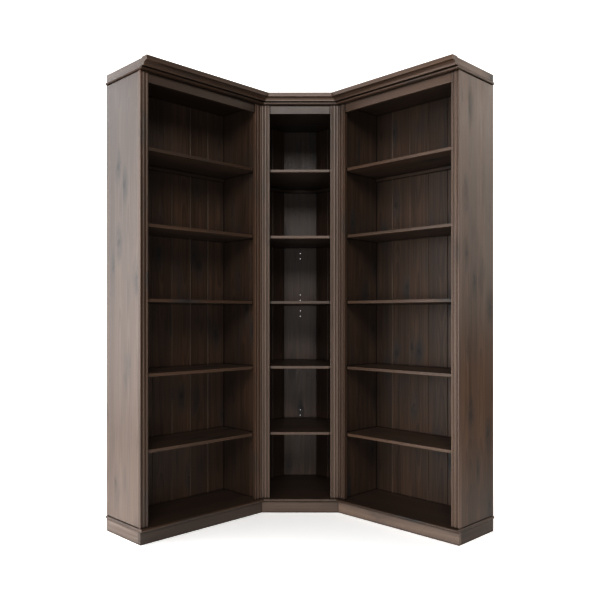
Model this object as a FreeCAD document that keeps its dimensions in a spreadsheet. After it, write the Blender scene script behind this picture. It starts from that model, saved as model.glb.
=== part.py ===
"""Corner bookcase wall in stained pine: two straight bookcases and a diagonal corner unit, in millimetres.

The left bookcase and the left half of the corner unit are drawn against the left wall, with distances
counted along that wall from the room corner, out from the wall, and up from the floor. The right-hand
pieces are the mirror images of those on the left, about the vertical plane that halves the room corner.
"""
import FreeCAD, Part
import os
import Sketcher

SIZES = {
    # plan of the units
    "corner_leg": 589,
    "straight_width": 731,
    "carcass_depth": 303,
    "carcass_height": 2076,
    # plinth, bottom and top boards
    "plinth_height": 59,
    "plinth_thickness": 18,
    "board_thickness": 15,
    "nose_front": 17,
    "nose_side": 5,
    "nose_radius": 7,
    # side panels
    "side_thickness": 20,
    "side_chamfer": 3,
    "rebate_width": 6,
    "housing_depth": 5,
    # fluted stiles and top rails
    "stile_width": 42,
    "stile_thickness": 20,
    "stile_round": 1.5,
    "flute_width": 11.5,
    "flute_depth": 3,
    "flute_margin": 6,
    "rail_height": 45,
    "rail_thickness": 16,
    "rail_recess": 6,
    # tongue-and-groove backs and the panel across the room corner
    "back_thickness": 8,
    "straight_board_count": 6,
    "corner_board_count": 4,
    "joint_gap": 0.3,
    "joint_chamfer": 2.5,
    "tongue_length": 5,
    "tongue_thickness": 2.4,
    "tongue_foot": 2,
    "centre_reach": 109,
    "centre_thickness": 12,
    # shelves, heights of their undersides as shares of the carcass height
    "shelf_gap": 1,
    "shelf_1_share": 0.160,
    "shelf_2_share": 0.329,
    "shelf_3_share": 0.495,
    "shelf_4_share": 0.662,
    "shelf_5_share": 0.831,
    "batten_height": 18,
    "batten_thickness": 10,
    # shelf pins and their rows of holes
    "pin_diameter": 5,
    "pin_stem": 9,
    "pin_hole_depth": 10,
    "pin_reach": 8,
    "spade_width": 8,
    "spade_thickness": 3,
    "spade_rise": 1.5,
    "pin_pitch": 32,
    "pin_rows": 5,
    "pin_rows_below": 2,
    "pin_inset": 37,
    # dowels between the side panels and the boards
    "dowel_diameter": 8,
    "dowel_length": 30,
    "dowel_in_board": 10,
    "dowel_inset": 60,
    # cornice, measured square to a straight unit
    "crown_set": 12,
    "crown_height": 39,
    "crown_foot": 15,
    "crown_foot_rise": 3,
    "cove_run": 22,
    "cove_rise": 16,
    "crown_quirk": 4,
    "return_height": 35,
    "return_thickness": 18,
    "crown_rail_thickness": 18,
    # steel brackets to the wall, plates across the seams, and their screws
    "bracket_width": 60,
    "bracket_leg": 40,
    "bracket_rise": 32,
    "bracket_hole": 5,
    "bracket_hole_spacing": 40,
    "bracket_hole_up": 20,
    "bracket_screw_out": 26,
    "steel_thickness": 2,
    "plate_length": 90,
    "plate_width": 34,
    "plate_out": 150,
    "plate_screw_along": 30,
    "plate_screw_spacing": 16,
    "screw_hole": 4.5,
    "screw_shank": 3.5,
    "screw_length": 13,
    "screw_head": 8,
    "screw_head_height": 2.5,
    "pilot_spare": 1,
}

LOOSE_SHELVES = ("shelf_1", "shelf_3", "shelf_4")
LOWER_FIXED, UPPER_FIXED = "shelf_2", "shelf_5"
FIXED_SHELVES = (LOWER_FIXED, UPPER_FIXED)

UP = FreeCAD.Vector(0, 0, 1)
SAME_LENGTH = 1e-4
SQUARE_TURN = 90
WALL_TURN = -SQUARE_TURN
CORNER_TURN = -SQUARE_TURN - SQUARE_TURN / 2

doc = FreeCAD.newDocument("corner_bookcase")
sheet = doc.addObject("Spreadsheet::Sheet", "Size")
for row, (alias, number) in enumerate(SIZES.items(), start=1):
    sheet.set(f"A{row}", alias)
    sheet.set(f"B{row}", str(number))
    sheet.setAlias(f"B{row}", alias)
doc.recompute()

nodes = []


def value(expression):
    """The number that a sheet expression stands for."""
    number = sheet.evalExpression(expression)
    return float(getattr(number, "Value", number))


def diagonal(out):
    """Distance from the room corner to the diagonal plane that meets the seam this far out from the wall."""
    return f"((Size.corner_leg + {out}) / sqrt(2))"


def seam_at(reach):
    """Half-width of the corner unit between the seams, at this distance from the room corner."""
    return f"(Size.corner_leg * sqrt(2) - {reach})"


# where the pieces stand
ROOM = "((Size.corner_leg + Size.straight_width + Size.nose_side) / 2)"
SEAM = "Size.corner_leg"
END = "(Size.corner_leg + Size.straight_width)"
FACE = "Size.carcass_depth"
FRAME_BACK = "(Size.carcass_depth - Size.stile_thickness)"
NOSE = "(Size.carcass_depth + Size.nose_front)"
CROWN_BACK = "(Size.carcass_depth + Size.crown_set)"
CROWN_WIDTH = "(Size.crown_foot + Size.cove_run + Size.crown_quirk)"
CARCASS_FOOT = "(Size.plinth_height + Size.board_thickness)"
CARCASS_TOP = f"({CARCASS_FOOT} + Size.carcass_height)"
CROWN_FOOT = f"({CARCASS_TOP} + Size.board_thickness)"
RAIL_FOOT = f"({CARCASS_TOP} - Size.rail_height)"
INNER_WIDTH = "(Size.straight_width - 2 * Size.side_thickness)"

FACE_REACH = diagonal(FACE)
FRAME_BACK_REACH = f"({FACE_REACH} - Size.stile_thickness)"
SEAM_DEPTH = f"({FRAME_BACK_REACH} * sqrt(2) - {SEAM})"
STILE_EDGE = f"({seam_at(FACE_REACH)} - Size.stile_width)"
CENTRE_BACK = "(Size.centre_reach - Size.centre_thickness)"
FLUTE_RADIUS = "((Size.flute_width ^ 2 / 4 + Size.flute_depth ^ 2) / (2 * Size.flute_depth))"


def rise_of(shelf):
    """Height of a shelf's underside above the foot of the side panels."""
    return f"(Size.{shelf}_share * Size.carcass_height)"


def foot_of(shelf):
    """Height of a shelf's underside above the floor."""
    return f"({CARCASS_FOOT} + {rise_of(shelf)})"


def batten_foot():
    """Height of the undersides of the battens above the floor."""
    return f"({foot_of(UPPER_FIXED)} - Size.batten_height)"


def lowest_pin(shelf):
    """Height of the lowest hole in a loose shelf's row of pin holes, above the foot of the side panels."""
    return f"({rise_of(shelf)} - Size.spade_rise - Size.pin_rows_below * Size.pin_pitch)"


def keep(piece):
    """Counts a piece as one of the assembly's nodes."""
    nodes.append(piece)
    return piece


def stand(piece, along="0", out="0", up="0", turn=WALL_TURN):
    """Places a piece's own origin along the left wall, out from it and up from the floor."""
    piece.Placement = FreeCAD.Placement(FreeCAD.Vector(), FreeCAD.Rotation(UP, turn))
    piece.setExpression("Placement.Base.x", f"{out} - {ROOM}")
    piece.setExpression("Placement.Base.y", f"{ROOM} - {along}")
    piece.setExpression("Placement.Base.z", up)
    return piece


def board(label, along, out, up):
    """A plain rectangular board; each pair is a start and a size."""
    piece = doc.addObject("Part::Box", label)
    for side, (_, size) in zip(("Length", "Width", "Height"), (along, out, up)):
        piece.setExpression(side, size)
    return stand(piece, along[0], out[0], up[0])


def mirror(piece, label):
    """The mirror image of a left-hand piece, against the right wall."""
    image = doc.addObject("Part::Mirroring", label)
    image.Source = piece
    image.Normal = FreeCAD.Vector(1, 1, 0)
    return image


def group(label, pieces):
    """Several separate solids under one name."""
    together = doc.addObject("Part::Compound", label)
    together.Links = pieces
    return together


def sketch_on(body, name, role, lift="0"):
    """An empty sketch on one of a body's own planes, moved along that plane's normal."""
    sketch = body.newObject("Sketcher::SketchObject", f"{body.Name}_{name}")
    plane = next(feature for feature in body.Origin.OriginFeatures if feature.Role == role)
    sketch.AttachmentSupport = [(plane, "")]
    sketch.MapMode = "FlatFace"
    sketch.setExpression("AttachmentOffset.Base.z", lift)
    return sketch


def hold_point(sketch, edge, end, x, y):
    """Ties a point of a sketch to two sheet expressions."""
    for kind, expression in (("DistanceX", x), ("DistanceY", y)):
        index = sketch.addConstraint(Sketcher.Constraint(kind, -1, 1, edge, end, value(expression)))
        sketch.setExpression(f"Constraints[{index}]", expression)


def polygon(sketch, corners):
    """A closed outline through corners given as sheet expressions."""
    first = sketch.GeometryCount
    count = len(corners)
    points = [FreeCAD.Vector(value(x), value(y), 0) for x, y in corners]
    for i in range(count):
        sketch.addGeometry(Part.LineSegment(points[i], points[(i + 1) % count]), False)
    for i in range(count):
        sketch.addConstraint(Sketcher.Constraint("Coincident", first + i, 2, first + (i + 1) % count, 1))
        hold_point(sketch, first + i, 1, *corners[i])
    return sketch


def circles(sketch, centres, radius):
    """Circles of one radius about centres given as sheet expressions."""
    for x, y in centres:
        edge = sketch.GeometryCount
        centre = FreeCAD.Vector(value(x), value(y), 0)
        sketch.addGeometry(Part.Circle(centre, UP, value(radius)), False)
        hold_point(sketch, edge, 3, x, y)
        index = sketch.addConstraint(Sketcher.Constraint("Radius", edge, value(radius)))
        sketch.setExpression(f"Constraints[{index}]", radius)
    return sketch


def pad(body, sketch, length, both_ways=False):
    """Raises a sketch into solid."""
    feature = body.newObject("PartDesign::Pad", f"{sketch.Name}_pad")
    feature.Profile = sketch
    feature.setExpression("Length", length)
    feature.Midplane = both_ways
    return feature


def cut(body, sketch, depth, forward=False):
    """Cuts a sketch into the body against its plane's normal, or along it."""
    feature = body.newObject("PartDesign::Pocket", f"{sketch.Name}_cut")
    feature.Profile = sketch
    feature.setExpression("Length", depth)
    feature.Reversed = forward
    return feature


def dress(body, kind, size_name, size, test):
    """Rounds or chamfers the edges of the body's last feature whose two ends both pass one test."""
    doc.recompute()
    base = body.Tip
    names = [
        f"Edge{i}"
        for i, edge in enumerate(base.Shape.Edges, start=1)
        if test(*[vertex.Point for vertex in edge.Vertexes])
    ]
    feature = body.newObject(f"PartDesign::{kind}", f"{body.Name}_{kind.lower()}")
    feature.Base = (base, names)
    feature.setExpression(size_name, size)
    return feature


def near(first, second):
    """Whether two lengths agree."""
    return abs(first - second) < SAME_LENGTH


def prism(label, corners, up, height, turn=WALL_TURN, along="0", out="0"):
    """A body with an upright outline."""
    body = doc.addObject("PartDesign::Body", label)
    pad(body, polygon(sketch_on(body, "plan", "XY_Plane"), corners), height)
    return stand(body, along, out, up, turn)


def bore(body, name, centres, diameter, depth, from_level=None):
    """Blind holes down from a level of the body, or up from its foot."""
    sketch = sketch_on(body, name, "XY_Plane", from_level or "0")
    circles(sketch, centres, f"{diameter} / 2")
    return cut(body, sketch, depth, forward=from_level is None)


def side_panel(label, inner_face, facing, depth_inside, depth_outside):
    """A side panel drawn from its inner face: rebate for the back, housings, pin holes and dowel holes."""
    sign = "" if facing > 0 else "-"
    outer = f"{sign}Size.side_thickness"
    rebate = f"{sign}Size.rebate_width"
    plan = [
        (rebate, "0"),
        (outer, "0"),
        (outer, depth_outside),
        ("0", depth_inside),
        ("0", "Size.back_thickness"),
        (rebate, "Size.back_thickness"),
    ]
    body = prism(label, plan, CARCASS_FOOT, "Size.carcass_height", along=inner_face)
    face = value(outer)
    dress(body, "Chamfer", "Size", "Size.side_chamfer",
          lambda p, q: near(p.x, face) and near(q.x, face) and near(p.z, q.z))
    for shelf in FIXED_SHELVES:
        foot = rise_of(shelf)
        top = f"({foot} + Size.board_thickness)"
        sketch = sketch_on(body, f"{shelf}_housing", "YZ_Plane")
        polygon(sketch, [("0", foot), (depth_inside, foot), (depth_inside, top), ("0", top)])
        cut(body, sketch, "Size.housing_depth", forward=facing > 0)
    for shelf in LOOSE_SHELVES:
        sketch = sketch_on(body, f"{shelf}_pin_holes", "YZ_Plane")
        centres = [(out, lowest_pin(shelf)) for out in pin_columns(depth_outside)]
        circles(sketch, centres, "Size.pin_diameter / 2")
        first = cut(body, sketch, "Size.pin_hole_depth", forward=facing > 0)
        repeat(body, first, sketch, "V_Axis", "Size.pin_pitch", "Size.pin_rows")
    centres = [(f"{outer} / 2", out) for out in dowel_places(depth_outside)]
    depth = "Size.dowel_length - Size.dowel_in_board"
    bore(body, "foot_dowels", centres, "Size.dowel_diameter", depth)
    bore(body, "head_dowels", centres, "Size.dowel_diameter", depth, from_level="Size.carcass_height")
    return body


def pin_columns(depth):
    """Distances from the wall of a side panel's two columns of pin holes."""
    return "(Size.back_thickness + Size.pin_inset)", f"({depth} - Size.pin_inset)"


def dowel_places(depth):
    """Distances from the wall of the dowels at the ends of a side panel."""
    return "Size.dowel_inset", f"({depth} - Size.dowel_inset)"


def repeat(body, feature, sketch, axis, pitch, count):
    """Repeats a feature in a row along an axis of its sketch."""
    pattern = body.newObject("PartDesign::LinearPattern", f"{sketch.Name}_row")
    pattern.Originals = [feature]
    pattern.Direction = (sketch, [axis])
    pattern.Mode = "Spacing"
    pattern.setExpression("Offset", pitch)
    pattern.setExpression("Occurrences", count)
    body.Tip = pattern
    return pattern


def flute(body, edges, face):
    """Two round flutes down the face of a stile, one in from each edge."""
    radius = FLUTE_RADIUS
    centre = f"({face} + {radius} - Size.flute_depth)"
    inset = "(Size.flute_margin + Size.flute_width / 2)"
    low, high = edges
    sketch = sketch_on(body, "flutes", "XY_Plane")
    circles(sketch, [(f"({low} + {inset})", centre), (f"({high} - {inset})", centre)], radius)
    return cut(body, sketch, "Size.carcass_height", forward=True)


def stile(label, plan, edges, face, along="0", out="0", turn=WALL_TURN):
    """A fluted stile with its front arrises eased."""
    body = prism(label, plan, CARCASS_FOOT, "Size.carcass_height", turn, along, out)
    front = value(face)
    dress(body, "Fillet", "Radius", "Size.stile_round",
          lambda p, q: near(p.y, front) and near(q.y, front) and not near(p.z, q.z))
    flute(body, edges, face)
    return body


def straight_stile(label, along):
    """A square-edged stile of a straight unit."""
    width, depth = "Size.stile_width", "Size.stile_thickness"
    plan = [("0", "0"), (width, "0"), (width, depth), ("0", depth)]
    return stile(label, plan, ("0", width), depth, along, FRAME_BACK)


def nosed_board(label, plan, up, test):
    """A bottom or top board with its exposed edges rounded into a nose."""
    body = prism(label, plan, up, "Size.board_thickness")
    dress(body, "Fillet", "Radius", "Size.nose_radius",
          lambda p, q: near(p.z, q.z) and test(p, q))
    return body


def matched_boards(label, start, width, count):
    """A back of tongue-and-groove boards with V-joints, in a row along the wall."""
    pitch = f"(({width} - Size.tongue_length) / {count})"
    half = "Size.joint_gap / 2"
    right = f"({pitch} - {half})"
    face = "Size.back_thickness"
    shoulder = f"({face} - Size.joint_chamfer)"
    tip = f"({right} + Size.tongue_length)"
    low, high = "Size.tongue_foot", "(Size.tongue_foot + Size.tongue_thickness)"
    slot_low, slot_high = f"({low} - Size.joint_gap)", f"({high} + Size.joint_gap)"
    slot_end = f"({half} + Size.tongue_length + Size.joint_gap)"
    plan = [
        (half, "0"), (right, "0"),
        (right, low), (tip, low), (tip, high), (right, high),
        (right, shoulder), (f"({right} - Size.joint_chamfer)", face),
        (f"({half} + Size.joint_chamfer)", face), (half, shoulder),
        (half, slot_high), (slot_end, slot_high), (slot_end, slot_low), (half, slot_low),
    ]
    body = prism(label, plan, CARCASS_FOOT, "Size.carcass_height", along=start)
    first = body.Tip
    repeat(body, first, first.Profile[0], "H_Axis", pitch, count)
    return body


def crown_profile(shrink):
    """Outline of the cornice above its foot, and the centre and radius of its cove."""
    foot, run, quirk = [f"Size.{size} / {shrink}" for size in ("crown_foot", "cove_run", "crown_quirk")]
    cove_top = "(Size.crown_foot_rise + Size.cove_rise)"
    edge = f"({foot} + {run})"
    width = f"({edge} + {quirk})"
    corners = [
        ("0", "0"), (foot, "0"), (foot, "Size.crown_foot_rise"), (edge, cove_top),
        (width, cove_top), (width, "Size.crown_height"), ("0", "Size.crown_height"),
    ]
    radius = f"((({run}) ^ 2 + Size.cove_rise ^ 2) / (2 * Size.cove_rise))"
    return corners, (edge, f"({cove_top} - {radius})"), radius


def cornice(label, shrink, length, both_ways=False):
    """A length of cornice moulding, drawn across and raised along its run."""
    corners, cove_centre, cove_radius = crown_profile(shrink)
    body = doc.addObject("PartDesign::Body", label)
    pad(body, polygon(sketch_on(body, "profile", "YZ_Plane"), corners), length, both_ways)
    cove = circles(sketch_on(body, "cove", "YZ_Plane"), [cove_centre], cove_radius)
    cut(body, cove, length, forward=True).Midplane = both_ways
    return body


def shelf_plan(gap, side_edge):
    """Six-sided outline of a corner shelf, this far clear of the pieces round it."""
    wall = f"(Size.back_thickness + {gap})"
    back = f"((Size.centre_reach + {gap}) * sqrt(2))"
    front = f"(({FRAME_BACK_REACH} - {gap}) * sqrt(2))"
    return [
        (f"({back} - {wall})", wall), (side_edge, wall), (side_edge, f"({front} - {side_edge})"),
        (f"({front} - {side_edge})", side_edge), (wall, side_edge), (wall, f"({back} - {wall})"),
    ]


def straight_unit():
    """The left straight bookcase; the right one is its mirror image."""
    inner, outer = f"({SEAM} + Size.side_thickness)", f"({END} - Size.side_thickness)"
    pieces = [
        side_panel("left_side_outer", outer, 1, FRAME_BACK, FRAME_BACK),
        side_panel("left_side_inner", inner, -1, FRAME_BACK, FRAME_BACK),
        straight_stile("left_stile_outer", f"({END} - Size.stile_width)"),
        straight_stile("left_stile_inner", SEAM),
        board("left_top_rail",
              (f"({SEAM} + Size.stile_width)", "Size.straight_width - 2 * Size.stile_width"),
              (f"({FACE} - Size.rail_recess - Size.rail_thickness)", "Size.rail_thickness"),
              (RAIL_FOOT, "Size.rail_height")),
    ]
    back_start = f"({inner} - Size.rebate_width)"
    back_width = f"({INNER_WIDTH} + 2 * Size.rebate_width)"
    pieces.append(matched_boards("left_back_boards", back_start, back_width, "Size.straight_board_count"))

    length = "(Size.straight_width + Size.nose_side)"
    plan = [(SEAM, "0"), (f"({SEAM} + {length})", "0"), (f"({SEAM} + {length})", NOSE), (SEAM, NOSE)]
    nose_front, nose_end = value(NOSE), value(f"{SEAM} + {length}")

    def exposed(p, q):
        """Front and outer end of a straight unit's board."""
        in_front = near(p.y, nose_front) and near(q.y, nose_front)
        at_end = near(p.x, nose_end) and near(q.x, nose_end)
        return in_front or at_end

    dowels = [
        (along, out)
        for along in (f"({SEAM} + Size.side_thickness / 2)", f"({END} - Size.side_thickness / 2)")
        for out in dowel_places(FRAME_BACK)
    ]
    pieces.append(bottom_board("left_bottom_board", plan, exposed, dowels))
    pieces.append(top_board("left_top_board", plan, exposed, dowels, bracket_screws() + plate_screws(1)))

    pieces.append(board("left_plinth_front", (SEAM, "Size.straight_width"),
                        (f"({FACE} - Size.plinth_thickness)", "Size.plinth_thickness"),
                        ("0", "Size.plinth_height")))
    ends = [
        board(f"left_plinth_end_{name}", (along, "Size.plinth_thickness"),
              ("0", f"{FACE} - Size.plinth_thickness"), ("0", "Size.plinth_height"))
        for name, along in (("inner", SEAM), ("outer", f"({END} - Size.plinth_thickness)"))
    ]
    pieces.append(group("left_plinth_ends", ends))

    crown = cornice("left_cornice", "1", "Size.straight_width")
    pieces.append(stand(crown, SEAM, CROWN_BACK, CROWN_FOOT))
    pieces.append(board("left_cornice_rail", (SEAM, "Size.straight_width - Size.return_thickness"),
                        (f"({CROWN_BACK} - Size.crown_rail_thickness)", "Size.crown_rail_thickness"),
                        (CROWN_FOOT, "Size.return_height")))
    pieces.append(board("left_cornice_return", (f"({END} - Size.return_thickness)", "Size.return_thickness"),
                        ("0", CROWN_BACK), (CROWN_FOOT, "Size.return_height")))

    def fixed_shelf(label, shelf):
        """A shelf housed in both side panels."""
        return board(label,
                     (f"({inner} - Size.housing_depth)", f"{INNER_WIDTH} + 2 * Size.housing_depth"),
                     ("Size.back_thickness", f"{FRAME_BACK} - Size.back_thickness"),
                     (foot_of(shelf), "Size.board_thickness"))

    pieces.append(fixed_shelf(f"left_{LOWER_FIXED}", LOWER_FIXED))
    batten = board("left_batten", (inner, INNER_WIDTH), ("Size.back_thickness", "Size.batten_thickness"),
                   (batten_foot(), "Size.batten_height"))
    pieces.append(group(f"left_{UPPER_FIXED}", [fixed_shelf("left_upper_board", UPPER_FIXED), batten]))
    for shelf in LOOSE_SHELVES:
        pieces.append(board(f"left_{shelf}",
                            (f"({inner} + Size.shelf_gap)", f"{INNER_WIDTH} - 2 * Size.shelf_gap"),
                            ("(Size.back_thickness + Size.shelf_gap)",
                             f"{FRAME_BACK} - Size.back_thickness - 2 * Size.shelf_gap"),
                            (foot_of(shelf), "Size.board_thickness")))
    for piece in pieces:
        keep(piece)
        keep(mirror(piece, piece.Label.replace("left", "right")))


def bottom_board(label, plan, exposed, dowels):
    """A board on the plinth, bored from above for the dowels of the side panels."""
    body = nosed_board(label, plan, "Size.plinth_height", exposed)
    upper = "Size.board_thickness"
    bore(body, "dowels", dowels, "Size.dowel_diameter", "Size.dowel_in_board", from_level=upper)
    return body


def top_board(label, plan, exposed, dowels, screws):
    """A board on the side panels, bored from below for their dowels and from above for screws."""
    body = nosed_board(label, plan, CARCASS_TOP, exposed)
    bore(body, "dowels", dowels, "Size.dowel_diameter", "Size.dowel_in_board")
    pilot = "Size.screw_length - Size.steel_thickness + Size.pilot_spare"
    bore(body, "pilots", screws, "Size.screw_shank", pilot, from_level="Size.board_thickness")
    return body


def bracket_screws():
    """Where the screws of a wall bracket stand, along the wall and out from it."""
    middle = f"({SEAM} + Size.straight_width / 2)"
    half = "Size.bracket_hole_spacing / 2"
    return [(f"({middle} {side} {half})", "Size.bracket_screw_out") for side in "-+"]


def plate_screws(side):
    """Where the screws of a joining plate stand, on one side of the seam."""
    along = f"({SEAM} {'+' if side > 0 else '-'} Size.plate_screw_along)"
    return [(along, f"(Size.plate_out {turn} Size.plate_screw_spacing / 2)") for turn in "-+"]


def swap(points):
    """The same points counted from the other wall."""
    return [(out, along) for along, out in points]


def corner_unit():
    """The diagonal unit between the two seams."""
    inner = f"({SEAM} - Size.side_thickness)"
    inner_depth = f"({FRAME_BACK_REACH} * sqrt(2) - {inner})"
    side = keep(side_panel("corner_side_left", inner, 1, inner_depth, SEAM_DEPTH))
    keep(mirror(side, "corner_side_right"))

    front, back = FACE_REACH, FRAME_BACK_REACH
    plan = [(STILE_EDGE, back), (seam_at(back), back), (seam_at(front), front), (STILE_EDGE, front)]
    post = keep(stile("corner_stile_left", plan, (STILE_EDGE, seam_at(front)), front, turn=CORNER_TURN))
    keep(mirror(post, "corner_stile_right"))

    rail_face = f"({front} - Size.rail_recess)"
    rail_back = f"({rail_face} - Size.rail_thickness)"
    plan = even_bar((STILE_EDGE, rail_back), (STILE_EDGE, rail_face))
    keep(prism("corner_top_rail", plan, RAIL_FOOT, "Size.rail_height", CORNER_TURN))

    back_start = f"({CENTRE_BACK} * sqrt(2) - Size.back_thickness)"
    back_width = f"({inner} + Size.rebate_width - {back_start})"
    wall_back = keep(matched_boards("corner_back_left", back_start, back_width, "Size.corner_board_count"))
    keep(mirror(wall_back, "corner_back_right"))
    keep(centre_panel())

    cut_off = f"({CENTRE_BACK} * sqrt(2))"
    plan = [(cut_off, "0"), (SEAM, "0"), (SEAM, NOSE), (NOSE, SEAM), ("0", SEAM), ("0", cut_off)]
    nose_sum = value(f"{SEAM} + {NOSE}")

    def exposed(p, q):
        """Diagonal front of the corner unit's board."""
        return near(p.x + p.y, nose_sum) and near(q.x + q.y, nose_sum)

    places = [(f"({SEAM} - Size.side_thickness / 2)", out) for out in dowel_places(SEAM_DEPTH)]
    dowels = places + swap(places)
    screws = plate_screws(-1) + swap(plate_screws(-1))
    keep(bottom_board("corner_bottom_board", plan, exposed, dowels))
    keep(top_board("corner_top_board", plan, exposed, dowels, screws))

    rear = f"({front} - Size.plinth_thickness)"
    keep(seam_bar("corner_plinth_front", front, rear, "0", "Size.plinth_height"))
    lane = f"({SEAM} - Size.plinth_thickness)"
    plan = [
        (lane, "0"), (SEAM, "0"),
        (SEAM, f"({rear} * sqrt(2) - {SEAM})"), (lane, f"({rear} * sqrt(2) - {lane})"),
    ]
    end = prism("corner_plinth_end_left", plan, "0", "Size.plinth_height")
    keep(group("corner_plinth_ends", [end, mirror(end, "corner_plinth_end_right")]))

    crown_back = diagonal(CROWN_BACK)
    crown_front = f"{CROWN_WIDTH} / sqrt(2)"
    crown = keep(cornice("corner_cornice", "sqrt(2)", f"2 * {seam_at(crown_back)}", both_ways=True))
    waste = sketch_on(crown, "seams", "XY_Plane")
    wide, narrow = seam_at(crown_back), f"({seam_at(crown_back)} - {crown_front})"
    for sign in ("", "-"):
        outer, inner_edge = f"{sign}{wide}", f"{sign}{narrow}"
        polygon(waste, [(outer, "0"), (outer, crown_front), (inner_edge, crown_front)])
    cut(crown, waste, "Size.crown_height", forward=True)
    stand(crown, f"({crown_back} / sqrt(2))", f"({crown_back} / sqrt(2))", CROWN_FOOT, CORNER_TURN)
    rail_back = diagonal(f"({CROWN_BACK} - Size.crown_rail_thickness)")
    keep(seam_bar("corner_cornice_rail", crown_back, rail_back, CROWN_FOOT, "Size.return_height"))

    housed = shelf_plan("0", f"({inner} + Size.housing_depth)")
    clear = shelf_plan("Size.shelf_gap", f"({inner} - Size.shelf_gap)")
    keep(prism(f"corner_{LOWER_FIXED}", housed, foot_of(LOWER_FIXED), "Size.board_thickness"))
    upper = prism("corner_upper_board", housed, foot_of(UPPER_FIXED), "Size.board_thickness")
    keep(group(f"corner_{UPPER_FIXED}", [upper, *corner_battens(inner)]))
    for shelf in LOOSE_SHELVES:
        keep(prism(f"corner_{shelf}", clear, foot_of(shelf), "Size.board_thickness"))


def corner_battens(side_edge):
    """Battens on the wall backs and the centre panel of the corner unit, mitred where they meet."""
    behind, before = [shelf_plan(gap, side_edge)[:2] for gap in ("0", "Size.batten_thickness")]
    on_wall = prism("corner_batten_left", behind + before[::-1], batten_foot(), "Size.batten_height")
    front = "(Size.centre_reach + Size.batten_thickness)"
    wall_front = "(Size.back_thickness + Size.batten_thickness)"
    plan = even_bar((between_walls("Size.centre_reach", "Size.back_thickness"), "Size.centre_reach"),
                    (between_walls(front, wall_front), front))
    on_centre = prism("corner_batten_centre", plan, batten_foot(), "Size.batten_height", CORNER_TURN)
    return [on_wall, mirror(on_wall, "corner_batten_right"), on_centre]


def between_walls(reach, out):
    """Half-width between planes this far out from the two walls, at a distance from the room corner."""
    return f"({reach} - {out} * sqrt(2))"


def even_bar(back, front):
    """Outline of a bar across the corner unit, from its half-width and reach at back and front."""
    (back_half, back_reach), (front_half, front_reach) = back, front
    return [
        (f"-{back_half}", back_reach), (back_half, back_reach),
        (front_half, front_reach), (f"-{front_half}", front_reach),
    ]


def seam_bar(label, front, back, up, height):
    """A bar across the corner unit, mitred on the two seams."""
    plan = even_bar((seam_at(back), back), (seam_at(front), front))
    return prism(label, plan, up, height, CORNER_TURN)


def centre_panel():
    """The panel across the room corner, drawn back from its front face, with its column of pin holes."""
    half_front = between_walls("Size.centre_reach", "Size.back_thickness")
    half_back = f"({half_front} - Size.centre_thickness)"
    plan = even_bar((half_back, "-Size.centre_thickness"), (half_front, "0"))
    reach = "(Size.centre_reach / sqrt(2))"
    body = prism("corner_back_centre", plan, CARCASS_FOOT, "Size.carcass_height", CORNER_TURN, reach, reach)
    for shelf in LOOSE_SHELVES:
        sketch = sketch_on(body, f"{shelf}_pin_holes", "XZ_Plane")
        circles(sketch, [("0", lowest_pin(shelf))], "Size.pin_diameter / 2")
        first = cut(body, sketch, "Size.centre_thickness", forward=True)
        repeat(body, first, sketch, "V_Axis", "Size.pin_pitch", "Size.pin_rows")
    return body


def spot(along, out, up):
    """A point of the part from its distances along the left wall, out from it and up."""
    room = value(ROOM)
    return FreeCAD.Vector(value(out) - room, room - value(along), value(up))


def at(shape, point, turn=0):
    """A copy of a shape turned about the vertical and carried to a point."""
    copy = shape.copy()
    copy.Placement = FreeCAD.Placement(point, FreeCAD.Rotation(UP, turn))
    return copy


def flipped(point):
    """The mirror image of a point against the right wall."""
    return FreeCAD.Vector(-point.y, -point.x, point.z)


def hardware(label, shapes):
    """Many like fittings under one name."""
    piece = doc.addObject("Part::Feature", label)
    piece.Shape = Part.makeCompound(shapes)
    return keep(piece)


def shelf_pins():
    """Pins under the loose shelves: two in each side panel, and one in the centre panel."""
    stem, reach = value("Size.pin_stem"), value("Size.pin_reach")
    width, thickness = value("Size.spade_width"), value("Size.spade_thickness")
    along_x = FreeCAD.Vector(1, 0, 0)
    shank = Part.makeCylinder(value("Size.pin_diameter") / 2, stem, FreeCAD.Vector(-stem, 0, 0), along_x)
    spade = Part.makeBox(reach, width, thickness,
                         FreeCAD.Vector(0, -width / 2, value("Size.spade_rise") - thickness))
    pin = shank.fuse(spade)
    faces = [
        (f"({END} - Size.side_thickness)", FRAME_BACK, SQUARE_TURN),
        (f"({SEAM} + Size.side_thickness)", FRAME_BACK, -SQUARE_TURN),
        (f"({SEAM} - Size.side_thickness)", SEAM_DEPTH, SQUARE_TURN),
    ]
    reach_centre = "(Size.centre_reach / sqrt(2))"
    shapes = []
    for shelf in LOOSE_SHELVES:
        up = f"{foot_of(shelf)} - Size.spade_rise"
        for along, depth, turn in faces:
            for out in pin_columns(depth):
                point = spot(along, out, up)
                shapes.append(at(pin, point, turn))
                shapes.append(at(pin, flipped(point), -turn - SQUARE_TURN))
        shapes.append(at(pin, spot(reach_centre, reach_centre, up), -SQUARE_TURN / 2))
    hardware("shelf_pins", shapes)


def dowels():
    """Dowels that locate the side panels on the bottom boards and under the top boards."""
    dowel = Part.makeCylinder(value("Size.dowel_diameter") / 2, value("Size.dowel_length"))
    panels = [
        (f"({END} - Size.side_thickness / 2)", FRAME_BACK),
        (f"({SEAM} + Size.side_thickness / 2)", FRAME_BACK),
        (f"({SEAM} - Size.side_thickness / 2)", SEAM_DEPTH),
    ]
    levels = (
        f"{CARCASS_FOOT} - Size.dowel_in_board",
        f"{CARCASS_TOP} + Size.dowel_in_board - Size.dowel_length",
    )
    shapes = []
    for along, depth in panels:
        for out in dowel_places(depth):
            for up in levels:
                point = spot(along, out, up)
                shapes.extend([at(dowel, point), at(dowel, flipped(point))])
    hardware("dowels", shapes)


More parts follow.
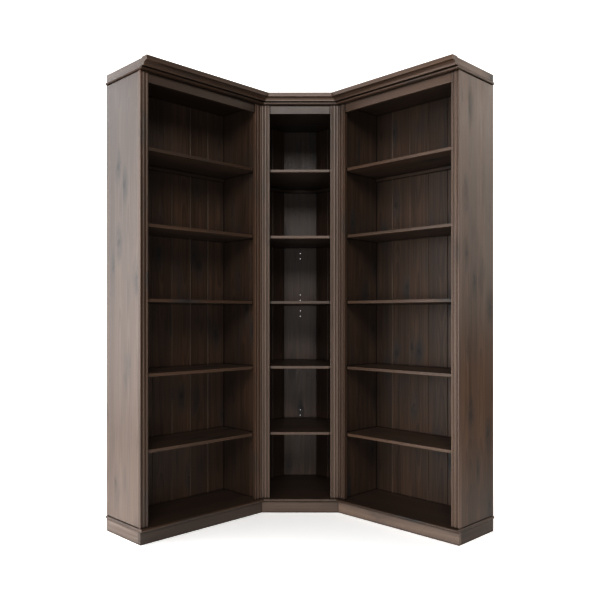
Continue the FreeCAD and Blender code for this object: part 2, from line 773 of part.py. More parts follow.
def metalwork():
    """Wall brackets, joining plates and the screws that hold both on the top boards."""
    steel = "Size.steel_thickness"
    bracket = doc.addObject("PartDesign::Body", "wall_bracket_left")
    outline = [
        ("0", "0"), ("Size.bracket_leg", "0"), ("Size.bracket_leg", steel), (steel, steel),
        (steel, "Size.bracket_rise"), ("0", "Size.bracket_rise"),
    ]
    pad(bracket, polygon(sketch_on(bracket, "profile", "YZ_Plane"), outline), "Size.bracket_width")
    columns = [f"(Size.bracket_width {side} Size.bracket_hole_spacing) / 2" for side in "-+"]
    wall_holes = sketch_on(bracket, "wall_holes", "XZ_Plane")
    circles(wall_holes, [(x, "Size.bracket_hole_up") for x in columns], "Size.bracket_hole / 2")
    cut(bracket, wall_holes, steel)
    bore(bracket, "screw_holes", [(x, "Size.bracket_screw_out") for x in columns], "Size.screw_hole", steel)
    stand(bracket, f"({SEAM} + (Size.straight_width - Size.bracket_width) / 2)", "0", CROWN_FOOT)
    keep(group("wall_brackets", [bracket, mirror(bracket, "wall_bracket_right")]))

    length, width = "Size.plate_length", "Size.plate_width"
    corners = [("0", "0"), (length, "0"), (length, width), ("0", width)]
    plate = doc.addObject("PartDesign::Body", "joining_plate_left")
    pad(plate, polygon(sketch_on(plate, "plan", "XY_Plane"), corners), steel)
    centres = [
        (f"({length} / 2 {side} Size.plate_screw_along)", f"({width} {turn} Size.plate_screw_spacing) / 2")
        for side in "-+"
        for turn in "-+"
    ]
    bore(plate, "screw_holes", centres, "Size.screw_hole", steel)
    stand(plate, f"({SEAM} - {length} / 2)", f"(Size.plate_out - {width} / 2)", CROWN_FOOT)
    keep(group("joining_plates", [plate, mirror(plate, "joining_plate_right")]))

    shank = Part.makeCylinder(value("Size.screw_shank") / 2, value("Size.screw_length"),
                              FreeCAD.Vector(0, 0, -value("Size.screw_length")))
    head = Part.makeCylinder(value("Size.screw_head") / 2, value("Size.screw_head_height"))
    rim = [edge for edge in head.Edges if near(edge.BoundBox.ZMin, head.BoundBox.ZMax)]
    screw = shank.fuse(head.makeFillet(value("Size.screw_head_height") / 2, rim))
    shapes = []
    for along, out in bracket_screws() + plate_screws(1) + plate_screws(-1):
        point = spot(along, out, f"{CROWN_FOOT} + {steel}")
        shapes.extend([at(screw, point), at(screw, flipped(point))])
    hardware("top_screws", shapes)


straight_unit()
corner_unit()
shelf_pins()
dowels()
metalwork()
doc.recompute()

for item in doc.Objects:
    if "Invalid" in item.State or "Error" in item.State:
        raise RuntimeError(f"{item.Label} did not compute: {item.State}")

os.makedirs("parts", exist_ok=True)
for node in nodes:
    shape = node.Shape
    if shape.isNull() or not shape.isValid() or not shape.Solids:
        raise RuntimeError(f"{node.Label} has no valid solid")
    whole = shape.Solids[0] if len(shape.Solids) == 1 else Part.makeCompound(shape.Solids)
    whole.exportStep(f"parts/{node.Label}.step")
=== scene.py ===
"""Looks for the corner bookcase wall: stained pine, steel fittings, a pale studio and the photo's camera."""

import math

import bpy
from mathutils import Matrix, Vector


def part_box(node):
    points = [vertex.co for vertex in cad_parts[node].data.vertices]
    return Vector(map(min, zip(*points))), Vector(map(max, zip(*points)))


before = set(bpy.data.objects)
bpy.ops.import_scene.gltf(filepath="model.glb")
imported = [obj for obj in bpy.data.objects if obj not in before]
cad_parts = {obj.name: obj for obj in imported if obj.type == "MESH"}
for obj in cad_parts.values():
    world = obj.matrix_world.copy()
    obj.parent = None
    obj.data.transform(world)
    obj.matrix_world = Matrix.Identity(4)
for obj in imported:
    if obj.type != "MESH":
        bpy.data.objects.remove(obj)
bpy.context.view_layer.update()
scene = bpy.context.scene

# camera, from the photo's vanishing lines: focal length and rows in pixels of the 600 pixel frame, the
# sensor in millimetres, the place in metres
PHOTO_SIZE = 600
FOCAL_LENGTH = 675.50
HORIZON_ROW = 316.02
SENSOR_WIDTH = 36
CAMERA_PLACE = (2.3121, -2.2953, 1.0368)
CAMERA_LEVEL = math.radians(90)
CAMERA_TURN = math.radians(45) + 0.0033

# directions in the part's frame: for each unit, along its run and then out from its back
UP = Vector((0, 0, 1))
UNIT_AXES = {
    "left": (Vector((0, -1, 0)), Vector((1, 0, 0))),
    "right": (Vector((1, 0, 0)), Vector((0, -1, 0))),
    "corner": (Vector((1, 1, 0)).normalized(), Vector((1, -1, 0)).normalized()),
}

# In the tables below a word stands for every node with that word in its name. The first row that fits
# counts, so narrow words come before wide ones, and the row without a word is for all the others.

# staves that the wide pieces are glued from, in metres; a stick is sawn from one piece
STAVE_WIDTH = {"side": 0.075, "shelf": 0.066, "board": 0.066, "back_centre": 0.070, "": None}
BACK_BOARDS = {"left": 6, "right": 6, "corner": 4}
BACK_TONGUE = 0.005
WHOLE_STICK = 0.300
STICK_FROM_EDGE = 0.020
SEAM_WIDTH = 0.0012
# how far apart the staves lie in the patterns, and the seeds of the nodes
RUN_SHIFT = 7.0
LANE_SHIFT = 3.0
SEED_START = 2.1
SEED_STEP = 5.3

# knots: the cells they are scattered in and their sizes in metres, and the share of cells without one
KNOT_ALONG = 0.36
KNOT_ACROSS = 0.12
KNOT_RADIUS = 0.005
KNOT_SPREAD = 0.011
KNOT_STRETCH = 0.65
KNOT_EDGE = (1.6, 0.3)
RAGGED_SCALE = 60.0
RAGGED_SIZE = 0.036
ASKEW_SCALE = 45.0
ASKEW_SIZE = 0.026
CLOUD_SIZE = (0.130, 0.046)
CLOUD_EDGE = (1.0, 0.1)
GRAIN_PARTING = 0.8
CLEAR_SHARE = {"back": 0.58, "side_inner": 0.44, "side": 0.62, "shelf": 0.70, "board": 0.70, "": 0.94}

# growth rings, in metres, and the part of a year in which a ring darkens and ends
RING_SPACING = 0.0046
RING_RIPPLE = 0.004
RING_DARKENS = (0.25, 0.88)
RING_ENDS = (1.0, 0.90)
PITH_ASIDE = 0.06
PITH_DEPTH = 0.045
PITH_WANDER = 0.06
KNOT_RINGS = 2.0

# patterns drawn out with the grain: how fine they are along it and across it
WANDER_GRAIN = (0.9, 3.0)
RIPPLE_GRAIN = (5.0, 40.0)
STREAK_GRAIN = (1.3, 55.0)
SMOKE_GRAIN = (9.0, 40.0)
FIBRE_GRAIN = (22.0, 900.0)
STRAY_GRAIN = (2.6, 9.0)
DRAWN_ROUGHNESS = 0.6
STRAY_CLOUD = (0.52, 0.78, 0.0, 0.7)
SMOKE_CLOUD = (0.3, 0.65, 0.35, 1.0)

# tone of the stain and how strongly rings, clouds and knots show, as shares
TONE_MIDDLE = 0.92
STREAK_RANGE = (0.25, 0.75)
STREAK_DEPTH = {"side_outer": 0.17, "_back": 0.38, "side_inner": 0.36, "": 0.26}
FIBRE_TONE = 0.20
STAVE_TONE = 0.78
STAVE_SPREAD = 0.30
SEAM_TONE = -0.30
RING_STRENGTH = 0.55
CLOUD_STRENGTH = 0.84
KNOT_STRENGTH = 0.66
KNOT_SHOW = {"side_outer": 0.72, "": 1.0}

# arrises painted paler (rubbed wear and a painted highlight), V-joints painted paler (a painted sheen),
# painted shade in crevices found by ambient occlusion; reaches in metres, the rest shares
ARRIS_REACH = 0.003
ARRIS_TURN = (0.995, 0.88)
ARRIS_STREAK = (0.35, 0.7)
ARRIS_PALER = (0.25, 0.75)
ARRIS_SHOW = {"top_board": 0.10, "bottom_board": 0.25, "": 1.0}
JOINT_TURN = (0.97, 0.80)
JOINT_SHEEN = (0.72, 0.0)
CREVICE_REACH = 0.008
CREVICE_OPEN = 0.98
CREVICE_FULL = {"right_stile": 0.76, "": 0.60}
CREVICE_SHADE_SHOW = {"left_stile": 0.50, "cornice": 0.55, "left_top_rail": 0.55, "": 0.85}

# lacquer: its shine, roughness and relief
LACQUER = 0.70
LACQUER_SHOW = {"left_top_board": 0.25, "": 1.0}
CREVICE_LACQUER = 0.10
ROUGHNESS = 0.42
FIBRE_ROUGH = 0.14
RING_ROUGH = 0.06
CLOUD_ROUGH = 0.10
RING_RELIEF = 0.35
FIBRE_RELIEF = 0.5
KNOT_RELIEF = 0.6
RELIEF_STRENGTH = 0.35
RELIEF_DEPTH = 0.0004

# edges eased with real rounds, in metres
EASED_PIECES = ("shelf", "rail", "plinth", "return")
EASED_WIDTH = 0.0012
EASED_SEGMENTS = 2
EASED_ANGLE = math.radians(40)
WELD_REACH = 1e-5

# colours, as linear red, green and blue
STAIN = (0.107, 0.068, 0.0455)
STAIN_RUDDY = (0.110, 0.066, 0.0425)
# a greyer stain, used as painted sheen
PAINTED_SHEEN_GREY = (0.082, 0.074, 0.067)
STAIN_DEEP = (0.052, 0.029, 0.0175)
CLOUD_GREY = (0.040, 0.040, 0.040)
KNOT_DARK = (0.024, 0.020, 0.018)
# painted shade, for crevices and inner corners
CREVICE_PAINTED_SHADE = (0.020, 0.013, 0.009)
# paler arrises and V-joints: partly rubbed wear, partly a painted highlight and sheen
EDGE_WORN_AND_HIGHLIGHT = (0.190, 0.138, 0.104)
ZINC_BRIGHT = (0.86, 0.86, 0.85)
ZINC_DULL = (0.70, 0.70, 0.70)
PIN_BRIGHT = (0.20, 0.16, 0.13)
PIN_DULL = (0.13, 0.10, 0.08)
BEECH_PALE = (0.52, 0.36, 0.22)
BEECH_FLECK = (0.34, 0.21, 0.12)
FLOOR_PALE = (0.90, 0.895, 0.89)
FLOOR_MOTTLED = (0.87, 0.87, 0.86)
WHITE = (1.0, 1.0, 1.0, 1.0)

PAINTED_LIGHT_TAKE = {
    # boards painted paler or darker than the rest: painted light and shade, set to how brightly each board
    # is lit
    "right_plinth_front": 2.10,
    "right_stile_outer": 1.22,
    "left_plinth_front": 0.86,
    "left_top_rail": 0.66,
    "right_plinth_ends": 0.63,
    "right_cornice_return": 1.36,
    "corner_stile": 1.48,
    "corner_top_rail": 0.66,
    "right_top_rail": 1.14,
    "left_stile_inner": 1.14,
    "right_stile_inner": 1.10,
    "left_plinth_ends": 1.25,
    "corner_plinth_front": 1.15,
    "corner_back_centre": 0.95,
    "corner_back": 0.90,
    "corner_side": 0.90,
    "side_inner": 0.86,
    "left_back": 1.06,
    "right_back": 0.82,
    "right_shelf": 1.06,
    "shelf": 0.92,
    "bottom_board": 0.80,
    "left_top_board": 0.62,
    "top_board": 0.88,
    "": 1.0,
}
PAINTED_SHEEN_SHARE = {
    # boards painted greyer: a painted sheen of pale reflections on them
    "right_plinth_front": 0.55,
    "corner_stile": 0.30,
    "right_top_rail": 0.25,
    "left_plinth_front": 0.35,
    "corner_plinth_front": 0.30,
    "right_stile_outer": 0.25,
    "left_side_outer": 0.40,
    "left_plinth_ends": 0.55,
    "left_cornice_return": 0.30,
    "": 0.0,
}
PAINTED_LIGHT_DRIFT = {
    # boards painted paler towards one end of the grain than the other: painted light and shade where light
    # falls unevenly along them
    "left_side_outer": (1.34, 0.85),
    "right_side_outer": (0.84, 1.00),
    "left_plinth_front": (1.14, 0.86),
    "right_plinth_front": (1.34, 0.94),
    "left_stile_outer": (0.92, 1.20),
    "right_stile_outer": (1.08, 0.88),
    "corner_back_centre": (1.48, 0.76),
    "": None,
}
PAINTED_LIGHT_BAND = {
    # painted light: soft paler bands across a board where too little light falls; place from its middle and
    # half width in metres, and how much paler
    "right_side_outer": (-0.45, 0.52, 1.62),
    "": None,
}

# studio: place, aim and size in metres, strength in watts and warmth of each soft light
LIGHTS = {
    "left_panel": ((-2.75, -2.15, 1.45), (-0.30, -0.40, 0.60), (2.6, 2.9), 62, -0.04),
    "left_high": ((-2.70, -0.60, 3.50), (-0.20, -0.20, 1.10), (1.8, 1.8), 98, -0.04),
    "front_fill": ((-2.00, -3.30, 1.20), (0.20, 0.30, 0.80), (1.4, 2.4), 72, -0.03),
    "front_left": ((-0.20, -4.00, 1.30), (0.10, 0.10, 1.00), (2.4, 2.4), 88, 0.0),
    "camera_panel": ((3.20, -3.20, 0.60), (0.00, 0.00, 0.90), (2.8, 1.1), 57, 0.0),
    "camera_high": ((3.00, -3.00, 3.60), (0.00, 0.00, 1.60), (2.4, 1.8), 185, 0.0),
    "right_back": ((1.75, 3.40, 2.10), (0.66, 0.50, 1.40), (2.0, 2.4), 45, 0.06),
    "right_high": ((2.10, 2.60, 3.40), (0.40, 0.40, 1.20), (2.0, 2.0), 30, 0.06),
    "back_panel": ((-2.80, 2.80, 1.60), (0.00, 0.00, 1.10), (2.4, 2.4), 110, 0.0),
}
# the surroundings as a light and as the camera sees them, and the picture's gamma
AMBIENT = 0.02
BACKDROP = 1.6
PICTURE_GAMMA = 0.68
# the floor, in metres; it fades out between the two distances of FLOOR_FADE
FLOOR_SIZE = 9.0
FLOOR_FADE = (1.5, 3.8)
FLOOR_DROP = 0.0005
FLOOR_GLOW = 0.42
FLOOR_ROUGHNESS = 0.75
FLOOR_MOTTLE_SCALE = 1.4

TIMBER_INPUTS = ("Along", "Across", "Through", "Stave", "Start", "Seed", "Clear")
TIMBER_OUTPUTS = ("Ring", "Knot", "Cloud", "Streak", "Fibre", "Seam", "Shade", "Tint")


class Shader:
    """An emptied node tree with short ways to add and join nodes."""

    def __init__(self, tree):
        self.tree = tree
        tree.nodes.clear()

    def add(self, kind, inputs=None, **settings):
        made = self.tree.nodes.new(kind)
        for name, setting in settings.items():
            setattr(made, name, setting)
        for key, source in (inputs or {}).items():
            if isinstance(source, bpy.types.NodeSocket):
                self.tree.links.new(source, made.inputs[key])
            else:
                made.inputs[key].default_value = source
        return made

    def math(self, operation, *terms):
        return self.add("ShaderNodeMath", dict(enumerate(terms)), operation=operation).outputs[0]

    def plus(self, first, second):
        return self.math("ADD", first, second)

    def minus(self, first, second):
        return self.math("SUBTRACT", first, second)

    def times(self, first, second):
        return self.math("MULTIPLY", first, second)

    def over(self, first, second):
        return self.math("DIVIDE", first, second)

    def scaled(self, value, by, added):
        return self.math("MULTIPLY_ADD", value, by, added)

    def vector_math(self, operation, *terms, output="Vector"):
        made = self.add("ShaderNodeVectorMath", dict(enumerate(terms)), operation=operation)
        return made.outputs[output]

    def dot(self, first, second):
        return self.vector_math("DOT_PRODUCT", first, second, output="Value")

    def length(self, vector):
        return self.vector_math("LENGTH", vector, output="Value")

    def combine(self, x, y, z=0.0):
        return self.add("ShaderNodeCombineXYZ", {0: x, 1: y, 2: z}).outputs[0]

    def split(self, vector):
        return self.add("ShaderNodeSeparateXYZ", {0: vector}).outputs

    def place(self):
        return self.add("ShaderNodeTexCoord").outputs["Object"]

    def ramp(self, value, low, high, to_low=0.0, to_high=1.0, smooth=True):
        kind = "SMOOTHSTEP" if smooth else "LINEAR"
        inputs = {"Value": value, "From Min": low, "From Max": high, "To Min": to_low, "To Max": to_high}
        return self.add("ShaderNodeMapRange", inputs, interpolation_type=kind).outputs[0]

    def noise(self, vector, scale=1.0, detail=2.0, roughness=0.5):
        inputs = {"Vector": vector, "Scale": scale, "Detail": detail, "Roughness": roughness}
        return self.add("ShaderNodeTexNoise", inputs).outputs[0]

    def mix(self, share, first, second, blend="MIX"):
        # sockets 6 and 7 of the node are its two colours, and output 2 is their mix
        sources = [one if isinstance(one, bpy.types.NodeSocket) else (*one, 1.0) for one in (first, second)]
        inputs = {"Factor": share, 6: sources[0], 7: sources[1]}
        return self.add("ShaderNodeMix", inputs, data_type="RGBA", blend_type=blend).outputs[2]

    def bump(self, height, strength, depth):
        inputs = {"Strength": strength, "Distance": depth, "Height": height}
        return self.add("ShaderNodeBump", inputs).outputs[0]

    def surface(self, inputs):
        return self.add("ShaderNodeBsdfPrincipled", inputs).outputs[0]

    def show(self, surface):
        self.add("ShaderNodeOutputMaterial", {0: surface})


def new_material(name):
    """A material, and the shader to build it with."""
    material = bpy.data.materials.new(name)
    material.use_nodes = True
    return material, Shader(material.node_tree)


def look_up(table, name):
    """The entry of the first row whose word is in a node's name."""
    return next(entry for word, entry in table.items() if word in name)


def staves(s, across, width, start, seed):
    """Place across the stave, the glued seam beside it, and the stave's own shade, turn and tint."""
    column = s.over(s.minus(across, start), width)
    number = s.math("FLOOR", column)
    chance = s.add("ShaderNodeTexWhiteNoise", {"Vector": s.combine(number, seed)}, noise_dimensions="2D")
    local = s.times(s.minus(s.math("FRACT", column), 0.5), width)
    to_seam = s.minus(s.times(width, 0.5), s.math("ABSOLUTE", local))
    seam = s.ramp(to_seam, SEAM_WIDTH, 0.0)
    return (local, seam, *s.split(chance.outputs["Color"]))


def knots(s, run, lane, seed, clear):
    """Scattered ragged knots, some left out, the smoky cloud about each, and the way to the nearest one."""
    cells = s.combine(s.over(run, KNOT_ALONG), s.over(lane, KNOT_ACROSS))
    spots = s.add("ShaderNodeTexVoronoi", {"Vector": cells, "Scale": 1.0}, voronoi_dimensions="2D")
    near_run, near_lane, _ = s.split(s.vector_math("SUBTRACT", cells, spots.outputs["Position"]))
    ragged = s.minus(s.noise(s.combine(run, lane, seed), RAGGED_SCALE, 3.0), 0.5)
    askew = s.minus(s.noise(s.combine(lane, run, seed), ASKEW_SCALE, 3.0), 0.5)
    off_run = s.scaled(near_run, KNOT_ALONG, s.times(ragged, RAGGED_SIZE))
    off_lane = s.scaled(near_lane, KNOT_ACROSS, s.times(askew, ASKEW_SIZE))
    luck, girth, _ = s.split(spots.outputs["Color"])
    there = s.math("GREATER_THAN", luck, clear)
    radius = s.scaled(girth, KNOT_SPREAD, KNOT_RADIUS)
    reach = s.length(s.combine(s.times(off_run, KNOT_STRETCH), off_lane))
    knot = s.times(s.ramp(s.over(reach, radius), *KNOT_EDGE), there)
    swell = s.length(s.combine(s.over(off_run, CLOUD_SIZE[0]), s.over(off_lane, CLOUD_SIZE[1])))
    halo = s.times(s.ramp(swell, *CLOUD_EDGE), there)
    return knot, halo, reach, off_lane


def timber_group():
    """Pine in the timber's own axes, stave after stave: rings, knots, clouds, streaks and fibres."""
    group = bpy.data.node_groups.new("pine_timber", "ShaderNodeTree")
    for name in TIMBER_INPUTS:
        group.interface.new_socket(name, in_out="INPUT", socket_type="NodeSocketFloat")
    for name in TIMBER_OUTPUTS:
        group.interface.new_socket(name, in_out="OUTPUT", socket_type="NodeSocketFloat")
    s = Shader(group)
    given = s.add("NodeGroupInput").outputs
    along, across, through, width, start, seed, clear = [given[name] for name in TIMBER_INPUTS]
    local, seam, shade, turn, tint = staves(s, across, width, start, seed)
    run = s.plus(along, s.times(shade, RUN_SHIFT))
    lane = s.plus(local, s.times(turn, LANE_SHIFT))
    knot, halo, reach, off_lane = knots(s, run, lane, seed, clear)

    def wavy(grain, third):
        return s.noise(s.combine(s.times(run, grain[0]), s.times(lane, grain[1]), third))

    # rings about a pith that wanders under the face, with the grain parting round the knots
    parted = s.minus(local, s.times(s.times(off_lane, halo), GRAIN_PARTING))
    pith_side = s.times(s.minus(turn, 0.5), PITH_ASIDE)
    pith_deep = s.scaled(tint, PITH_DEPTH, s.times(wavy(WANDER_GRAIN, seed), PITH_WANDER))
    spoke = s.combine(s.minus(parted, pith_side), s.plus(through, pith_deep))
    girdle = s.plus(s.length(spoke), s.times(wavy(RIPPLE_GRAIN, through), RING_RIPPLE))
    inner_rings = s.times(knot, s.times(reach, KNOT_RINGS))
    year = s.math("FRACT", s.over(s.plus(girdle, inner_rings), RING_SPACING))
    ring = s.times(s.ramp(year, *RING_DARKENS), s.ramp(year, *RING_ENDS))

    def drawn(grain, detail):
        side = s.times(s.plus(parted, turn), grain[1])
        deep = s.times(through, grain[1])
        return s.noise(s.combine(s.times(run, grain[0]), side, deep), 1.0, detail, DRAWN_ROUGHNESS)

    # streaks, fine fibres and smoky clouds, all drawn out along the grain
    streak = drawn(STREAK_GRAIN, 3.0)
    fibre = drawn(FIBRE_GRAIN, 2.0)
    stray = s.ramp(drawn(STRAY_GRAIN, 2.0), *STRAY_CLOUD)
    smoke = s.ramp(drawn(SMOKE_GRAIN, 3.0), *SMOKE_CLOUD)
    cloud = s.times(s.math("MAXIMUM", halo, stray), smoke)
    s.add("NodeGroupOutput", dict(enumerate((ring, knot, cloud, streak, fibre, seam, shade, tint))))
    return group


def timber_axes(name):
    """Directions along, across and through the timber of a node, from what the piece is."""
    unit, piece = name.split("_", 1)
    if unit == "corner" and piece.split("_")[0] in ("side", "back") and not piece.endswith("centre"):
        unit = piece.rsplit("_", 1)[1]
    run, out = UNIT_AXES[unit]
    if piece.startswith("side"):
        return UP, out, run
    if piece.startswith(("stile", "back")):
        return UP, run, out
    if piece.startswith(("shelf", "bottom_board", "top_board")):
        return run, out, UP
    if piece.endswith(("plinth_ends", "cornice_return")):
        return out, UP, run
    return run, UP, out


def middle_of(name):
    """The middle of a node's box."""
    return sum(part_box(name), Vector()) / 2


def reach_along(name, axis):
    """How far a node reaches along an axis, to either side of the middle of its box."""
    middle = middle_of(name)
    places = [(vertex.co - middle).dot(axis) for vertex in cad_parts[name].data.vertices]
    return min(places), max(places)


def stave_of(name, axis):
    """Width of the staves that a node is glued from, and where the first one starts."""
    unit, piece = name.split("_", 1)
    low, high = reach_along(name, axis)
    if "back" in piece and not piece.endswith("centre"):
        return (high - low - BACK_TONGUE) / BACK_BOARDS[unit], low
    width = look_up(STAVE_WIDTH, piece)
    if width:
        return width, low
    return WHOLE_STICK, low - STICK_FROM_EDGE


def stain_and_painted_light(s, name, timber, along, axis):
    """How pale the stain is, from streaks, fibres and staves, and from painted light and shade: a tone for
    each board, a drift along it and soft bands.
    """
    depth = look_up(STREAK_DEPTH, name)
    tone = s.ramp(timber["Streak"], *STREAK_RANGE, TONE_MIDDLE - depth, TONE_MIDDLE + depth, False)
    tone = s.plus(tone, s.times(timber["Fibre"], FIBRE_TONE))
    # painted light and shade: each board's own tone
    lit_take = look_up(PAINTED_LIGHT_TAKE, name)
    tone = s.times(tone, s.scaled(timber["Shade"], STAVE_SPREAD * lit_take, STAVE_TONE * lit_take))
    tone = s.times(tone, s.scaled(timber["Seam"], SEAM_TONE, 1.0))
    # painted light and shade along the grain
    painted_drift = look_up(PAINTED_LIGHT_DRIFT, name)
    if painted_drift:
        tone = s.times(tone, s.ramp(along, *reach_along(name, axis), *painted_drift, False))
    # painted light: a soft paler band across the board
    painted_band = look_up(PAINTED_LIGHT_BAND, name)
    if painted_band:
        centre, half_width, paler = painted_band
        away = s.math("ABSOLUTE", s.minus(along, centre))
        tone = s.times(tone, s.ramp(away, half_width, 0.0, 1.0, paler))
    return tone


def stained_colour(s, name, timber, tone):
    """Stain over the rings, greyed by a painted sheen on some boards, then the smoky clouds and the knots.
    """
    stained = s.mix(timber["Tint"], STAIN, STAIN_RUDDY)
    # painted sheen: greyer on the boards that catch pale reflections
    sheened = s.mix(look_up(PAINTED_SHEEN_SHARE, name), stained, PAINTED_SHEEN_GREY)
    ringed = s.mix(s.times(timber["Ring"], RING_STRENGTH), sheened, STAIN_DEEP)
    toned = s.mix(1.0, ringed, s.combine(tone, tone, tone), "MULTIPLY")
    show = look_up(KNOT_SHOW, name)
    clouded = s.mix(s.times(timber["Cloud"], CLOUD_STRENGTH * show), toned, CLOUD_GREY)
    return s.mix(s.times(timber["Knot"], KNOT_STRENGTH * show), clouded, KNOT_DARK)


def arris_wear_and_highlight(s, name, timber, hard):
    """Where the arrises are painted paler, in patches that follow the streaks: partly rubbed wear, partly a
    painted highlight.
    """
    soft = s.add("ShaderNodeBevel", {"Radius": ARRIS_REACH}, samples=3).outputs[0]
    turned = s.dot(soft, hard)
    patches = [corner_sheen * look_up(ARRIS_SHOW, name) for corner_sheen in ARRIS_PALER]
    return s.times(s.ramp(turned, *ARRIS_TURN), s.ramp(timber["Streak"], *ARRIS_STREAK, *patches))


def joint_painted_sheen(s, name, across, hard, axes):
    """Painted sheen on the V-joint facets between the boards of a back: paler, most towards the room corner.
    """
    facing = s.math("ABSOLUTE", s.dot(hard, axes[2]))
    corner_sheen = s.ramp(across, *reach_along(name, axes[1]), *JOINT_SHEEN, False)
    return s.times(s.ramp(facing, *JOINT_TURN), corner_sheen)


def pine_material(name, seed, group):
    """Stained and lacquered pine with its grain along the piece."""
    material, s = new_material(f"pine_{name}")
    axes = timber_axes(name)
    offset = s.vector_math("SUBTRACT", s.place(), middle_of(name))
    along, across, through = [s.dot(offset, axis) for axis in axes]
    given = (along, across, through, *stave_of(name, axes[1]), seed, look_up(CLEAR_SHARE, name))
    timber = s.add("ShaderNodeGroup", dict(zip(TIMBER_INPUTS, given)), node_tree=group).outputs

    # stain, with painted highlights on arrises (partly rubbed wear) and V-joints, and painted shade in
    # crevices
    tone = stain_and_painted_light(s, name, timber, along, axes[0])
    hard = s.add("ShaderNodeNewGeometry").outputs["Normal"]
    colour = stained_colour(s, name, timber, tone)
    # painted highlight along the arrises, partly rubbed wear
    colour = s.mix(arris_wear_and_highlight(s, name, timber, hard), colour, EDGE_WORN_AND_HIGHLIGHT)
    # painted shade: darker where ambient occlusion finds crevices and inner corners, with less lacquer shine
    # there
    openness = s.add("ShaderNodeAmbientOcclusion", {"Distance": CREVICE_REACH}, samples=4).outputs["AO"]
    crevice = (openness, CREVICE_OPEN, look_up(CREVICE_FULL, name))
    colour = s.mix(s.ramp(*crevice, 0.0, look_up(CREVICE_SHADE_SHOW, name)), colour, CREVICE_PAINTED_SHADE)
    # painted sheen on the V-joint facets of the backs
    if "_back" in name:
        colour = s.mix(joint_painted_sheen(s, name, across, hard, axes), colour, EDGE_WORN_AND_HIGHLIGHT)

    # lacquer that follows the grain
    rough = s.scaled(timber["Fibre"], FIBRE_ROUGH, ROUGHNESS)
    rough = s.minus(rough, s.times(timber["Ring"], RING_ROUGH))
    rough = s.plus(rough, s.times(timber["Cloud"], CLOUD_ROUGH))
    relief = s.plus(s.times(timber["Ring"], RING_RELIEF), s.times(timber["Fibre"], FIBRE_RELIEF))
    relief = s.minus(relief, s.times(timber["Knot"], KNOT_RELIEF))
    s.show(s.surface({
        "Base Color": colour,
        "Roughness": rough,
        "Normal": s.bump(relief, RELIEF_STRENGTH, RELIEF_DEPTH),
        "Specular IOR Level": s.ramp(*crevice, LACQUER * look_up(LACQUER_SHOW, name), CREVICE_LACQUER),
    }))
    return material


def steel_material(name, bright, dull):
    """Plated steel with faint spangle and rubbing marks."""
    material, s = new_material(name)
    place = s.place()
    spangle = s.add("ShaderNodeTexVoronoi", {"Vector": place, "Scale": 260.0}).outputs["Distance"]
    rubbed = s.noise(place, 700.0, 3.0)
    s.show(s.surface({
        "Base Color": s.mix(s.ramp(spangle, 0.1, 0.8), bright, dull),
        "Metallic": 1.0,
        "Roughness": s.scaled(rubbed, 0.22, 0.24),
        "Normal": s.bump(rubbed, 0.15, 0.0001),
    }))
    return material


def beech_material():
    """Plain beech dowels: pale, with short dark flecks along them."""
    material, s = new_material("beech_dowel")
    fleck = s.noise(s.vector_math("MULTIPLY", s.place(), (900.0, 900.0, 120.0)))
    s.show(s.surface({
        "Base Color": s.mix(s.ramp(fleck, 0.45, 0.7), BEECH_PALE, BEECH_FLECK),
        "Roughness": s.scaled(fleck, 0.2, 0.5),
    }))
    return material


def ease_edges(node):
    """Small real rounds on the edges of a CAD node, as modifiers."""
    weld = node.modifiers.new("weld", "WELD")
    weld.merge_threshold = WELD_REACH
    bevel = node.modifiers.new("eased_edges", "BEVEL")
    bevel.width = EASED_WIDTH
    bevel.segments = EASED_SEGMENTS
    bevel.limit_method = "ANGLE"
    bevel.angle_limit = EASED_ANGLE
    bevel.use_clamp_overlap = True
    node.modifiers.new("even_shading", "WEIGHTED_NORMAL")


def dress_nodes():
    """Gives every CAD node its material, and eased edges to the plain boards."""
    group = timber_group()
    zinc = steel_material("zinc_steel", ZINC_BRIGHT, ZINC_DULL)
    bronzed = steel_material("bronzed_steel", PIN_BRIGHT, PIN_DULL)
    beech = beech_material()
    for index, (name, node) in enumerate(sorted(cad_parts.items())):
        slot = node.data.materials[0].name
        if slot == "steel":
            material = bronzed if name == "shelf_pins" else zinc
        elif slot == "beech":
            material = beech
        else:
            material = pine_material(name, index * SEED_STEP + SEED_START, group)
            if any(word in name for word in EASED_PIECES):
                ease_edges(node)
        node.data.materials[0] = material


def floor_material():
    """A pale floor with a faint mottle and glow, fading out far from the part."""
    material, s = new_material("pale_floor")
    place = s.place()
    mottle = s.noise(place, FLOOR_MOTTLE_SCALE, 3.0)
    surface = s.surface({
        "Base Color": s.mix(mottle, FLOOR_MOTTLED, FLOOR_PALE),
        "Roughness": FLOOR_ROUGHNESS,
        "Emission Color": WHITE,
        "Emission Strength": FLOOR_GLOW,
    })
    gone = s.ramp(s.length(place), *FLOOR_FADE)
    nothing = s.add("ShaderNodeBsdfTransparent").outputs[0]
    s.show(s.add("ShaderNodeMixShader", {0: gone, 1: surface, 2: nothing}).outputs[0])
    return material


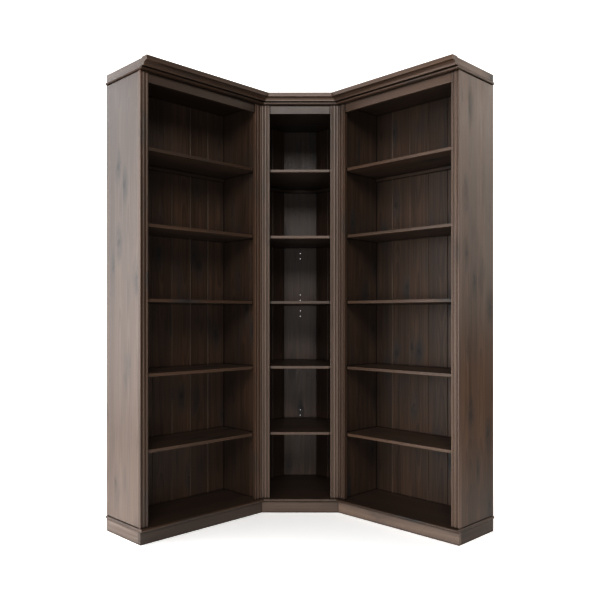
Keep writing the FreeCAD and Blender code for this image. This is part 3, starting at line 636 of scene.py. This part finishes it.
def floor():
    """The floor under the part."""
    mesh = bpy.data.meshes.new("floor")
    half = FLOOR_SIZE / 2
    corners = [(x * half, y * half, -FLOOR_DROP) for x, y in ((-1, -1), (1, -1), (1, 1), (-1, 1))]
    mesh.from_pydata(corners, [], [(0, 1, 2, 3)])
    mesh.materials.append(floor_material())
    ground = bpy.data.objects.new("floor", mesh)
    scene.collection.objects.link(ground)


def soft_light(name, place, aim, size, strength, warmth):
    """A rectangular soft light pointed at a place."""
    lamp = bpy.data.lights.new(name, "AREA")
    lamp.shape = "RECTANGLE"
    lamp.size, lamp.size_y = size
    lamp.energy = strength
    lamp.color = (1 + warmth, 1, 1 - warmth)
    light = bpy.data.objects.new(name, lamp)
    light.location = place
    light.rotation_euler = (Vector(aim) - Vector(place)).to_track_quat("-Z", "Y").to_euler()
    light.visible_camera = False
    scene.collection.objects.link(light)


def studio():
    """White surroundings that light the part dimly, and the soft lights."""
    world = bpy.data.worlds.new("studio")
    scene.world = world
    world.use_nodes = True
    s = Shader(world.node_tree)
    seen = s.add("ShaderNodeLightPath").outputs["Is Camera Ray"]
    strength = s.ramp(seen, 0.0, 1.0, AMBIENT, BACKDROP, False)
    backdrop = s.add("ShaderNodeBackground", {"Color": WHITE, "Strength": strength})
    s.add("ShaderNodeOutputWorld", {0: backdrop.outputs[0]})
    for name, settings in LIGHTS.items():
        soft_light(name, *settings)


def camera():
    """The photo's camera: level, with the frame shifted down to the photo's horizon."""
    lens = bpy.data.cameras.new("photo_camera")
    lens.sensor_fit = "HORIZONTAL"
    lens.sensor_width = SENSOR_WIDTH
    lens.lens = FOCAL_LENGTH / PHOTO_SIZE * SENSOR_WIDTH
    lens.shift_y = (HORIZON_ROW - PHOTO_SIZE / 2) / PHOTO_SIZE
    viewer = bpy.data.objects.new("photo_camera", lens)
    viewer.location = CAMERA_PLACE
    viewer.rotation_euler = (CAMERA_LEVEL, 0, CAMERA_TURN)
    scene.collection.objects.link(viewer)
    scene.camera = viewer


dress_nodes()
floor()
studio()
camera()
scene.view_settings.view_transform = "Standard"
scene.view_settings.gamma = PICTURE_GAMMA

bpy.context.view_layer.update()
